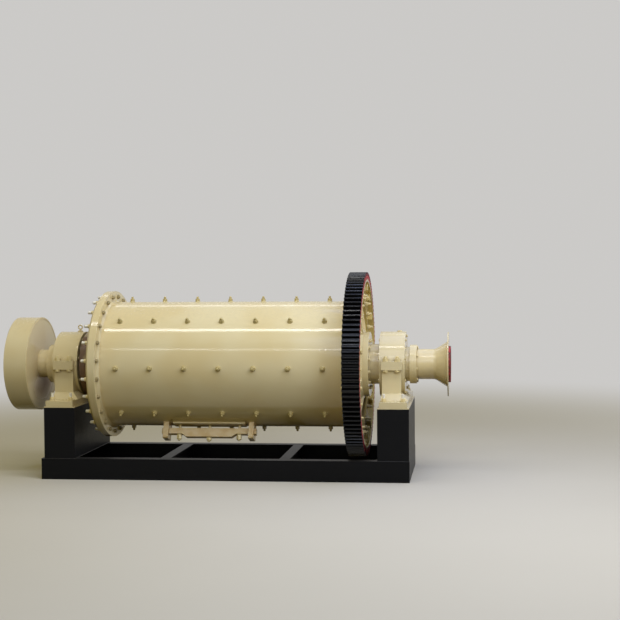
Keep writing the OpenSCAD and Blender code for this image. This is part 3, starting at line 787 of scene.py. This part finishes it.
def bearing_bolts(side, cap_x, foot_x):
    """Cap bolts and foundation bolts of one trunnion bearing."""
    nut = Fastener().washer(radius=0.022, thickness=0.004).nut(width=0.036, height=0.021)
    nut.stud(radius=0.012, length=0.013)
    head = Fastener().nut(width=0.036, height=0.015)
    anchor = Fastener().washer(radius=0.022, thickness=0.004).nut(width=0.030, height=0.020)
    anchor.stud(radius=0.010, length=0.030, bare=1.0)
    up, down = (0, 0, 1), (0, 0, -1)
    ears = ("skid", (2, 2), CAP_BOLT_PITCH)
    above, below = (cap_x, 0, SPLIT_Z + CAP_EAR_T), (cap_x, 0, SPLIT_Z - BASE_EAR_T)
    bolt_grid(side + "_cap_nuts", nut.mesh("cap_nut"), *ears, above, up)
    bolt_grid(side + "_cap_bolt_heads", head.mesh("cap_bolt_head"), *ears, below, down)
    seat = (foot_x, 0, FOOT_Z + BASE_FOOT_T)
    bolt_grid(side + "_anchor_studs", anchor.mesh("anchor_stud"), "skid", (2, 2), ANCHOR_PITCH, seat, up)


def vent_plug():
    """A plug in the boss on top of the discharge bearing, where the feed one has its eye."""
    plug = Fastener().cup(wide=0.014, narrow=0.013, height=0.003)
    boss_x = DISCHARGE_BEARING_X + middle_x("feed_lifting_eye") - FEED_BEARING_X
    seat = (boss_x, 0, high("discharge_bearing_cap").z)
    bolt_grid("discharge_vent_plug", plug.mesh("vent_plug"), "skid", (1, 1), (0, 0), seat, (0, 0, 1))


def manhole_point(x, across, reach):
    """A place on the manhole: across its width, and at that reach from the mill axis."""
    y = -reach * math.sin(MANHOLE_TURN) - across * math.cos(MANHOLE_TURN)
    return (x, y, AXIS_Z - reach * math.cos(MANHOLE_TURN) + across * math.sin(MANHOLE_TURN))


def manhole_bolts():
    """Studs of the manhole cover: locked by two nuts at the ends of the bar, by one in its middle."""
    end = Fastener().washer(radius=0.021, thickness=0.004).nut(width=0.034, height=0.018)
    end.nut(width=0.034, height=0.014).stud(radius=0.010, length=0.010)
    middle = Fastener().washer(radius=0.021, thickness=0.004).nut(width=0.034, height=0.018)
    middle.stud(radius=0.010, length=0.010)
    shank = Fastener().stud(radius=0.010, length=0.030)
    outward = Vector(manhole_point(0, 0, 1)) - Vector(manhole_point(0, 0, 0))
    at_ends = manhole_point(MANHOLE_X, 0, BAR_R + BAR_END_H)
    at_middle = manhole_point(MANHOLE_X, 0, BAR_R + BAR_MIDDLE_H)
    under_bar = manhole_point(MANHOLE_X, 0, BAR_R)
    pitch = MANHOLE_STUD_PITCH
    bolt_grid("manhole_end_nuts", end.mesh("end_nut"), "drum", (2, 1), (2 * pitch, 0), at_ends, outward)
    bolt_grid("manhole_middle_nut", middle.mesh("middle_nut"), "drum", (1, 1), (0, 0), at_middle, outward)
    bolt_grid("manhole_stud_shanks", shank.mesh("shank"), "drum", (3, 1), (pitch, 0), under_bar, -outward)


# Welds

SEAM_STEPS = 96
RIPPLE_PITCH = 0.009
RIPPLE = 0.16


def circle_seam(x, radius):
    """Points of a seam round the mill axis."""
    turns = [2 * math.pi * i / SEAM_STEPS for i in range(SEAM_STEPS)]
    return [(x, radius * math.cos(turn), AXIS_Z + radius * math.sin(turn)) for turn in turns]


def rectangle_seam(low_corner, high_corner, z):
    """Corners of a level seam round a plate or foot."""
    x0, y0 = low_corner
    x1, y1 = high_corner
    return [(x0, y0, z), (x1, y0, z), (x1, y1, z), (x0, y1, z)]


def shell_seam(middle_x, length, width):
    """A seam round a plate near the manhole that is bent over the curved face of the shell."""
    steps = 12
    corners = [(-1, -1), (1, -1), (1, 1), (-1, 1)]
    line = []
    for start, end in zip(corners, corners[1:] + corners[:1]):
        for step in range(steps):
            part = step / steps
            x = (start[0] + (end[0] - start[0]) * part) * length / 2
            across = (start[1] + (end[1] - start[1]) * part) * width / 2
            reach = math.sqrt(SHELL_R * SHELL_R - across * across)
            line.append(manhole_point(middle_x + x, across, reach))
    return line


def welds(name, body, seams, bead, slot="cream_paint"):
    """Beads of that radius along several closed seams, as one piece."""
    points, edges = [], []
    for line in seams:
        first, last = len(points), len(points) + len(line) - 1
        points += line
        edges += [(i, i + 1) for i in range(first, last)] + [(last, first)]
    path = bpy.data.meshes.new(name + "_path")
    path.from_pydata(points, edges, [])
    finish = BLACK_WELD if slot == "black_paint" else CREAM_WELD
    sizes = {"Bead": bead, "Pitch": RIPPLE_PITCH, "Ripple": RIPPLE, "Finish": finish}
    grown(name, path, WELD, body, sizes)


def drum_welds():
    """Beads behind the shell flanges, on the feeder drum and on the trumpet."""
    feed_x = FEED_JOINT_X + SHELL_FLANGE_T + FLANGE_WELD_L
    discharge_x = DISCHARGE_JOINT_X - SHELL_FLANGE_T - FLANGE_WELD_L
    flange_seams = [circle_seam(feed_x, SHELL_R), circle_seam(discharge_x, SHELL_R)]
    welds("shell_flange_welds", "drum", flange_seams, bead=0.0025)
    corner_r = radius_of("feeder_rim") - 0.010
    inner_x, outer_x = high("feeder_inner_face").x, low("feeder_rim").x
    feeder_seams = [circle_seam(inner_x - SUNK, corner_r), circle_seam(inner_x, FEEDER_HUB_R)]
    feeder_seams.append(circle_seam(outer_x + SUNK, corner_r))
    welds("feeder_welds", "drum", feeder_seams, bead=0.003)
    trumpet_seams = [circle_seam(TRUMPET_FLANGE_FACE, TRUMPET_BARREL_R)]
    trumpet_seams.append(circle_seam(low("trumpet_slinger").x, radius_of("discharge_trumpet")))
    welds("trumpet_welds", "drum", trumpet_seams, bead=0.003)


def manhole_welds():
    """Beads round the pad on the cover and round the two brackets of the bar."""
    pad_l = high("manhole_pad").x - low("manhole_pad").x
    welds("manhole_pad_weld", "drum", [shell_seam(MANHOLE_X, pad_l, PAD_W)], bead=0.003)
    places = (MANHOLE_X - BRACKET_X, MANHOLE_X + BRACKET_X)
    seams = [shell_seam(x, BRACKET_T, BRACKET_W) for x in places]
    welds("manhole_bracket_welds", "drum", seams, bead=0.004)


def skid_welds():
    """Beads round the foot of each pedestal."""
    top = high("front_beam").z
    seams = []
    for node in ("feed_pedestal", "discharge_pedestal"):
        seams.append(rectangle_seam(low(node).xy, high(node).xy, top))
    welds("pedestal_welds", "skid", seams, bead=0.0022, slot="black_paint")


liner_bolts()
flange_bolts()
trunnion_bolts()
cover_bolts()
end_flange_bolts()
bearing_bolts("feed", FEED_BEARING_X, FEED_FOOT_X)
bearing_bolts("discharge", DISCHARGE_BEARING_X, DISCHARGE_FOOT_X)
vent_plug()
manhole_bolts()
drum_welds()
manhole_welds()
skid_welds()


# Studio

BACKDROP = (0.60, 0.59, 0.575, 1)
FLOOR_REACH = 60


def seen_by(start):
    """1 for rays that show the studio, in the picture or mirrored in the mill, and 0 for its light."""
    rays = start.node("ShaderNodeLightPath")
    seen = rays.other("Is Camera Ray") + rays.other("Is Glossy Ray") + rays.other("Is Transmission Ray")
    return seen.math("MINIMUM", seen, 1.0)


def floor_finish():
    """A pale floor, lost in the backdrop far away, that gives little light back to the mill."""
    material = bpy.data.materials.new("studio_floor")
    material.use_nodes = True
    tree = material.node_tree
    tree.nodes.clear()
    start = Wire(tree)
    place = start.node("ShaderNodeTexCoord", out="Object")
    cloud = noise(place, 0.6, 4)
    colour = mix(cloud, linear(206, 203, 198), linear(212, 209, 204))
    pale = start.node("ShaderNodeBsdfDiffuse", None, {"Color": colour})
    dim = start.node("ShaderNodeBsdfDiffuse", None, {"Color": (0.10, 0.08, 0.03, 1)})
    glow = start.node("ShaderNodeEmission", None, {"Color": BACKDROP, "Strength": 1.0})
    distance = place.node("ShaderNodeVectorMath", {"operation": "LENGTH"}, {0: place}, out="Value")
    shown = start.node("ShaderNodeMixShader", None, {0: distance.between(2.2, 8), 1: pale, 2: glow})
    both = start.node("ShaderNodeMixShader", None, {0: seen_by(start), 1: dim, 2: shown})
    start.node("ShaderNodeOutputMaterial", None, {"Surface": both})
    return material


def studio_floor():
    mesh = bpy.data.meshes.new("studio_floor")
    reach = FLOOR_REACH
    corners = [(-reach, -reach, 0), (reach, -reach, 0), (reach, reach, 0), (-reach, reach, 0)]
    mesh.from_pydata(corners, [], [(0, 1, 2, 3)])
    mesh.materials.append(floor_finish())
    floor = bpy.data.objects.new("studio_floor", mesh)
    bpy.context.scene.collection.objects.link(floor)


def studio_sky():
    """Warm soft light from all round. Where the sky itself is seen, it is the backdrop."""
    world = bpy.data.worlds.new("studio_sky")
    bpy.context.scene.world = world
    world.use_nodes = True
    world.node_tree.nodes.clear()
    start = Wire(world.node_tree)
    light = start.node("ShaderNodeBackground", None, {"Color": (1.05, 0.87, 0.22, 1), "Strength": 0.32})
    pale = start.node("ShaderNodeBackground", None, {"Color": BACKDROP, "Strength": 1.0})
    both = start.node("ShaderNodeMixShader", None, {0: seen_by(start), 1: light, 2: pale})
    start.node("ShaderNodeOutputWorld", None, {"Surface": both})


def lamp(name, place, aim, size, watts, colour=(1, 1, 1)):
    """A rectangular lamp at place that shines on aim."""
    light = bpy.data.lights.new(name, "AREA")
    light.shape = "RECTANGLE"
    light.size, light.size_y = size
    light.energy = watts
    light.color = colour
    holder = bpy.data.objects.new(name, light)
    towards = (Vector(aim) - Vector(place)).normalized()
    turn = towards.to_track_quat("-Z", "Y").to_matrix().to_4x4()
    holder.matrix_world = Matrix.Translation(place) @ turn
    bpy.context.scene.collection.objects.link(holder)


def strip(name, elevation, distance, width, watts):
    """A long tube lamp beside the mill, at that elevation in degrees from the camera's side."""
    length = 6.0
    middle = 1.0
    turn = math.radians(elevation)
    place = (middle, -distance * math.cos(turn), AXIS_Z + distance * math.sin(turn))
    lamp(name, place, (middle, 0, AXIS_Z), (length, width), watts)


def photo_camera():
    """The camera of the photo: its place, turn and tilts in degrees, and its lens."""
    camera = bpy.data.cameras.new("photo_camera")
    camera.lens = 69.99
    camera.sensor_width = 36
    camera.shift_x = -0.08
    place = (1.781, -8.774, AXIS_Z + 0.700)
    yaw, pitch, roll = (math.radians(angle) for angle in (5.422, -1.98, -0.328))
    level = math.cos(pitch)
    forward = Vector((-math.sin(yaw) * level, math.cos(yaw) * level, math.sin(pitch)))
    right = Vector((math.cos(yaw), math.sin(yaw), 0))
    up = right.cross(forward)
    rolled_right = math.cos(roll) * right + math.sin(roll) * up
    rolled_up = math.cos(roll) * up - math.sin(roll) * right
    turn = Matrix((rolled_right, rolled_up, -forward)).transposed().to_4x4()
    holder = bpy.data.objects.new("photo_camera", camera)
    holder.matrix_world = Matrix.Translation(place) @ turn
    bpy.context.scene.collection.objects.link(holder)
    bpy.context.scene.camera = holder


studio_floor()
studio_sky()
lamp("sky_panel", (2.3, 0.2, 5.0), (1.5, 0, AXIS_Z), (5.0, 3.4), 40, (0.56, 0.88, 2.0))
lamp("front_panel", (2.6, -4.4, 4.2), (1.5, 0, AXIS_Z), (5.6, 3.8), 82, (0.84, 1.0, 1.42))
lamp("right_panel", (4.2, -3.6, 2.6), (1.2, 0, AXIS_Z), (1.8, 1.8), 40, (1.0, 0.95, 0.86))
strip("front_strip", elevation=64, distance=3.2, width=0.22, watts=52)
strip("low_front_strip", elevation=29, distance=4.5, width=0.08, watts=15)
strip("back_strip", elevation=132, distance=3.4, width=0.3, watts=14)
photo_camera()
bpy.context.scene.view_settings.view_transform = "Standard"
